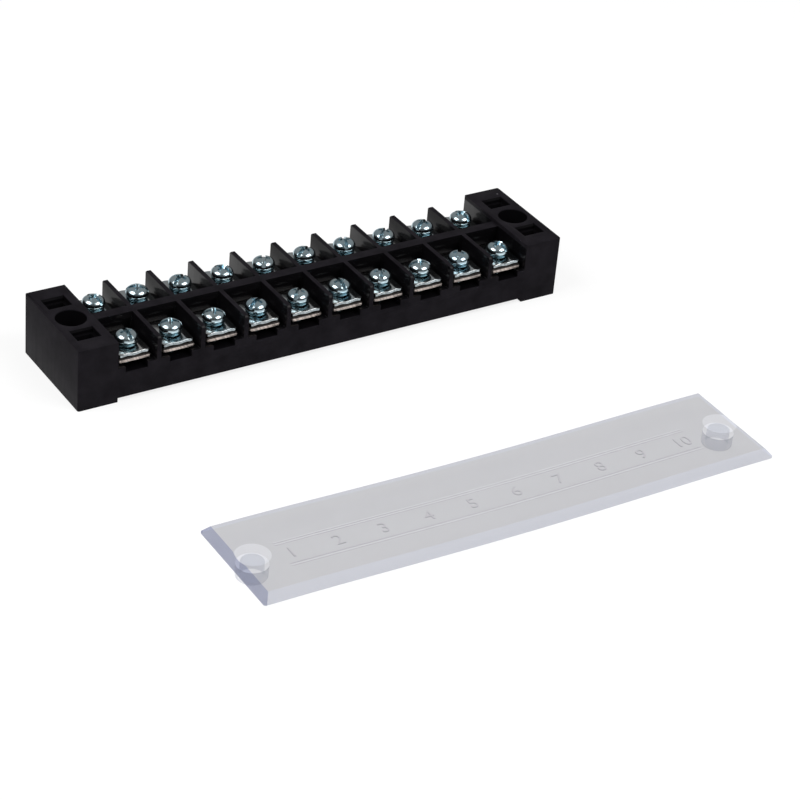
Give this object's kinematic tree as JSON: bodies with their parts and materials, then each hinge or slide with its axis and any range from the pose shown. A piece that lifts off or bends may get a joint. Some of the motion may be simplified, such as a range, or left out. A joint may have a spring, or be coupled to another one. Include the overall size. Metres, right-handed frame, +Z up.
{
  "type": "barrier terminal strip",
  "caption": "Barrier terminal strip: black moulding with screw terminals in walled cells, mounting holes at its ends, clear cover taken off.",
  "frame": {"origin": "midway between the two mounting holes, on the plane of the feet", "axes": "+X along the strip, +Y from the front row to the back row, +Z up out of the base"},
  "size_m": [0.1447, 0.127, 0.0175],
  "materials": {
    "black_plastic": "satin",
    "clear_plastic": "polished",
    "nickel_plate": "satin",
    "zinc_plate": "bright"
  },
  "bodies": {
    "strip": {"housing": "black_plastic", "cover": "clear_plastic", "terminal_plate_01": "nickel_plate", "terminal_plate_02": "nickel_plate", "terminal_plate_03": "nickel_plate", "terminal_plate_04": "nickel_plate", "terminal_plate_05": "nickel_plate", "terminal_plate_06": "nickel_plate", "terminal_plate_07": "nickel_plate", "terminal_plate_08": "nickel_plate", "terminal_plate_09": "nickel_plate", "terminal_plate_10": "nickel_plate"},
    "clamp_front_01": {"clamp_front_01": "zinc_plate"},
    "screw_front_01": {"screw_front_01": "zinc_plate"},
    "clamp_front_02": {"clamp_front_02": "zinc_plate"},
    "screw_front_02": {"screw_front_02": "zinc_plate"},
    "clamp_front_03": {"clamp_front_03": "zinc_plate"},
    "screw_front_03": {"screw_front_03": "zinc_plate"},
    "clamp_front_04": {"clamp_front_04": "zinc_plate"},
    "screw_front_04": {"screw_front_04": "zinc_plate"},
    "clamp_front_05": {"clamp_front_05": "zinc_plate"},
    "screw_front_05": {"screw_front_05": "zinc_plate"},
    "clamp_front_06": {"clamp_front_06": "zinc_plate"},
    "screw_front_06": {"screw_front_06": "zinc_plate"},
    "clamp_front_07": {"clamp_front_07": "zinc_plate"},
    "screw_front_07": {"screw_front_07": "zinc_plate"},
    "clamp_front_08": {"clamp_front_08": "zinc_plate"},
    "screw_front_08": {"screw_front_08": "zinc_plate"},
    "clamp_front_09": {"clamp_front_09": "zinc_plate"},
    "screw_front_09": {"screw_front_09": "zinc_plate"},
    "clamp_front_10": {"clamp_front_10": "zinc_plate"},
    "screw_front_10": {"screw_front_10": "zinc_plate"},
    "clamp_back_01": {"clamp_back_01": "zinc_plate"},
    "screw_back_01": {"screw_back_01": "zinc_plate"},
    "clamp_back_02": {"clamp_back_02": "zinc_plate"},
    "screw_back_02": {"screw_back_02": "zinc_plate"},
    "clamp_back_03": {"clamp_back_03": "zinc_plate"},
    "screw_back_03": {"screw_back_03": "zinc_plate"},
    "clamp_back_04": {"clamp_back_04": "zinc_plate"},
    "screw_back_04": {"screw_back_04": "zinc_plate"},
    "clamp_back_05": {"clamp_back_05": "zinc_plate"},
    "screw_back_05": {"screw_back_05": "zinc_plate"},
    "clamp_back_06": {"clamp_back_06": "zinc_plate"},
    "screw_back_06": {"screw_back_06": "zinc_plate"},
    "clamp_back_07": {"clamp_back_07": "zinc_plate"},
    "screw_back_07": {"screw_back_07": "zinc_plate"},
    "clamp_back_08": {"clamp_back_08": "zinc_plate"},
    "screw_back_08": {"screw_back_08": "zinc_plate"},
    "clamp_back_09": {"clamp_back_09": "zinc_plate"},
    "screw_back_09": {"screw_back_09": "zinc_plate"},
    "clamp_back_10": {"clamp_back_10": "zinc_plate"},
    "screw_back_10": {"screw_back_10": "zinc_plate"}
  },
  "joints": [
    {"name": "lift_front_01", "type": "slide", "parent": "strip", "child": "clamp_front_01", "axis": [0, 0, 1], "range_m": [0, 0.003]},
    {"name": "turn_front_01", "type": "hinge", "parent": "clamp_front_01", "child": "screw_front_01", "pos_m": [-0.0558, -0.0093, 0.01376], "axis": [0, 0, 1], "range_deg": [0, 1801]},
    {"name": "lift_front_02", "type": "slide", "parent": "strip", "child": "clamp_front_02", "axis": [0, 0, 1], "range_m": [0, 0.003]},
    {"name": "turn_front_02", "type": "hinge", "parent": "clamp_front_02", "child": "screw_front_02", "pos_m": [-0.0434, -0.0093, 0.01376], "axis": [0, 0, 1], "range_deg": [0, 1801]},
    {"name": "lift_front_03", "type": "slide", "parent": "strip", "child": "clamp_front_03", "axis": [0, 0, 1], "range_m": [0, 0.003]},
    {"name": "turn_front_03", "type": "hinge", "parent": "clamp_front_03", "child": "screw_front_03", "pos_m": [-0.031, -0.0093, 0.01376], "axis": [0, 0, 1], "range_deg": [0, 1801]},
    {"name": "lift_front_04", "type": "slide", "parent": "strip", "child": "clamp_front_04", "axis": [0, 0, 1], "range_m": [0, 0.003]},
    {"name": "turn_front_04", "type": "hinge", "parent": "clamp_front_04", "child": "screw_front_04", "pos_m": [-0.0186, -0.0093, 0.01376], "axis": [0, 0, 1], "range_deg": [0, 1801]},
    {"name": "lift_front_05", "type": "slide", "parent": "strip", "child": "clamp_front_05", "axis": [0, 0, 1], "range_m": [0, 0.003]},
    {"name": "turn_front_05", "type": "hinge", "parent": "clamp_front_05", "child": "screw_front_05", "pos_m": [-0.0062, -0.0093, 0.01376], "axis": [0, 0, 1], "range_deg": [0, 1801]},
    {"name": "lift_front_06", "type": "slide", "parent": "strip", "child": "clamp_front_06", "axis": [0, 0, 1], "range_m": [0, 0.003]},
    {"name": "turn_front_06", "type": "hinge", "parent": "clamp_front_06", "child": "screw_front_06", "pos_m": [0.0062, -0.0093, 0.01376], "axis": [0, 0, 1], "range_deg": [0, 1801]},
    {"name": "lift_front_07", "type": "slide", "parent": "strip", "child": "clamp_front_07", "axis": [0, 0, 1], "range_m": [0, 0.003]},
    {"name": "turn_front_07", "type": "hinge", "parent": "clamp_front_07", "child": "screw_front_07", "pos_m": [0.0186, -0.0093, 0.01376], "axis": [0, 0, 1], "range_deg": [0, 1801]},
    {"name": "lift_front_08", "type": "slide", "parent": "strip", "child": "clamp_front_08", "axis": [0, 0, 1], "range_m": [0, 0.003]},
    {"name": "turn_front_08", "type": "hinge", "parent": "clamp_front_08", "child": "screw_front_08", "pos_m": [0.031, -0.0093, 0.01376], "axis": [0, 0, 1], "range_deg": [0, 1801]},
    {"name": "lift_front_09", "type": "slide", "parent": "strip", "child": "clamp_front_09", "axis": [0, 0, 1], "range_m": [0, 0.003]},
    {"name": "turn_front_09", "type": "hinge", "parent": "clamp_front_09", "child": "screw_front_09", "pos_m": [0.0434, -0.0093, 0.01376], "axis": [0, 0, 1], "range_deg": [0, 1801]},
    {"name": "lift_front_10", "type": "slide", "parent": "strip", "child": "clamp_front_10", "axis": [0, 0, 1], "range_m": [0, 0.003]},
    {"name": "turn_front_10", "type": "hinge", "parent": "clamp_front_10", "child": "screw_front_10", "pos_m": [0.0558, -0.0093, 0.01376], "axis": [0, 0, 1], "range_deg": [0, 1801]},
    {"name": "lift_back_01", "type": "slide", "parent": "strip", "child": "clamp_back_01", "axis": [0, 0, 1], "range_m": [0, 0.003]},
    {"name": "turn_back_01", "type": "hinge", "parent": "clamp_back_01", "child": "screw_back_01", "pos_m": [-0.0558, 0.0093, 0.01376], "axis": [0, 0, 1], "range_deg": [0, 1801]},
    {"name": "lift_back_02", "type": "slide", "parent": "strip", "child": "clamp_back_02", "axis": [0, 0, 1], "range_m": [0, 0.003]},
    {"name": "turn_back_02", "type": "hinge", "parent": "clamp_back_02", "child": "screw_back_02", "pos_m": [-0.0434, 0.0093, 0.01376], "axis": [0, 0, 1], "range_deg": [0, 1801]},
    {"name": "lift_back_03", "type": "slide", "parent": "strip", "child": "clamp_back_03", "axis": [0, 0, 1], "range_m": [0, 0.003]},
    {"name": "turn_back_03", "type": "hinge", "parent": "clamp_back_03", "child": "screw_back_03", "pos_m": [-0.031, 0.0093, 0.01376], "axis": [0, 0, 1], "range_deg": [0, 1801]},
    {"name": "lift_back_04", "type": "slide", "parent": "strip", "child": "clamp_back_04", "axis": [0, 0, 1], "range_m": [0, 0.003]},
    {"name": "turn_back_04", "type": "hinge", "parent": "clamp_back_04", "child": "screw_back_04", "pos_m": [-0.0186, 0.0093, 0.01376], "axis": [0, 0, 1], "range_deg": [0, 1801]},
    {"name": "lift_back_05", "type": "slide", "parent": "strip", "child": "clamp_back_05", "axis": [0, 0, 1], "range_m": [0, 0.003]},
    {"name": "turn_back_05", "type": "hinge", "parent": "clamp_back_05", "child": "screw_back_05", "pos_m": [-0.0062, 0.0093, 0.01376], "axis": [0, 0, 1], "range_deg": [0, 1801]},
    {"name": "lift_back_06", "type": "slide", "parent": "strip", "child": "clamp_back_06", "axis": [0, 0, 1], "range_m": [0, 0.003]},
    {"name": "turn_back_06", "type": "hinge", "parent": "clamp_back_06", "child": "screw_back_06", "pos_m": [0.0062, 0.0093, 0.01376], "axis": [0, 0, 1], "range_deg": [0, 1801]},
    {"name": "lift_back_07", "type": "slide", "parent": "strip", "child": "clamp_back_07", "axis": [0, 0, 1], "range_m": [0, 0.003]},
    {"name": "turn_back_07", "type": "hinge", "parent": "clamp_back_07", "child": "screw_back_07", "pos_m": [0.0186, 0.0093, 0.01376], "axis": [0, 0, 1], "range_deg": [0, 1801]},
    {"name": "lift_back_08", "type": "slide", "parent": "strip", "child": "clamp_back_08", "axis": [0, 0, 1], "range_m": [0, 0.003]},
    {"name": "turn_back_08", "type": "hinge", "parent": "clamp_back_08", "child": "screw_back_08", "pos_m": [0.031, 0.0093, 0.01376], "axis": [0, 0, 1], "range_deg": [0, 1801]},
    {"name": "lift_back_09", "type": "slide", "parent": "strip", "child": "clamp_back_09", "axis": [0, 0, 1], "range_m": [0, 0.003]},
    {"name": "turn_back_09", "type": "hinge", "parent": "clamp_back_09", "child": "screw_back_09", "pos_m": [0.0434, 0.0093, 0.01376], "axis": [0, 0, 1], "range_deg": [0, 1801]},
    {"name": "lift_back_10", "type": "slide", "parent": "strip", "child": "clamp_back_10", "axis": [0, 0, 1], "range_m": [0, 0.003]},
    {"name": "turn_back_10", "type": "hinge", "parent": "clamp_back_10", "child": "screw_back_10", "pos_m": [0.0558, 0.0093, 0.01376], "axis": [0, 0, 1], "range_deg": [0, 1801]}
  ],
  "couplings": [
    {"joint": "turn_front_01", "follows": "lift_front_01", "rad_per_m": 10472},
    {"joint": "turn_front_02", "follows": "lift_front_02", "rad_per_m": 10472},
    {"joint": "turn_front_03", "follows": "lift_front_03", "rad_per_m": 10472},
    {"joint": "turn_front_04", "follows": "lift_front_04", "rad_per_m": 10472},
    {"joint": "turn_front_05", "follows": "lift_front_05", "rad_per_m": 10472},
    {"joint": "turn_front_06", "follows": "lift_front_06", "rad_per_m": 10472},
    {"joint": "turn_front_07", "follows": "lift_front_07", "rad_per_m": 10472},
    {"joint": "turn_front_08", "follows": "lift_front_08", "rad_per_m": 10472},
    {"joint": "turn_front_09", "follows": "lift_front_09", "rad_per_m": 10472},
    {"joint": "turn_front_10", "follows": "lift_front_10", "rad_per_m": 10472},
    {"joint": "turn_back_01", "follows": "lift_back_01", "rad_per_m": 10472},
    {"joint": "turn_back_02", "follows": "lift_back_02", "rad_per_m": 10472},
    {"joint": "turn_back_03", "follows": "lift_back_03", "rad_per_m": 10472},
    {"joint": "turn_back_04", "follows": "lift_back_04", "rad_per_m": 10472},
    {"joint": "turn_back_05", "follows": "lift_back_05", "rad_per_m": 10472},
    {"joint": "turn_back_06", "follows": "lift_back_06", "rad_per_m": 10472},
    {"joint": "turn_back_07", "follows": "lift_back_07", "rad_per_m": 10472},
    {"joint": "turn_back_08", "follows": "lift_back_08", "rad_per_m": 10472},
    {"joint": "turn_back_09", "follows": "lift_back_09", "rad_per_m": 10472},
    {"joint": "turn_back_10", "follows": "lift_back_10", "rad_per_m": 10472}
  ]
}
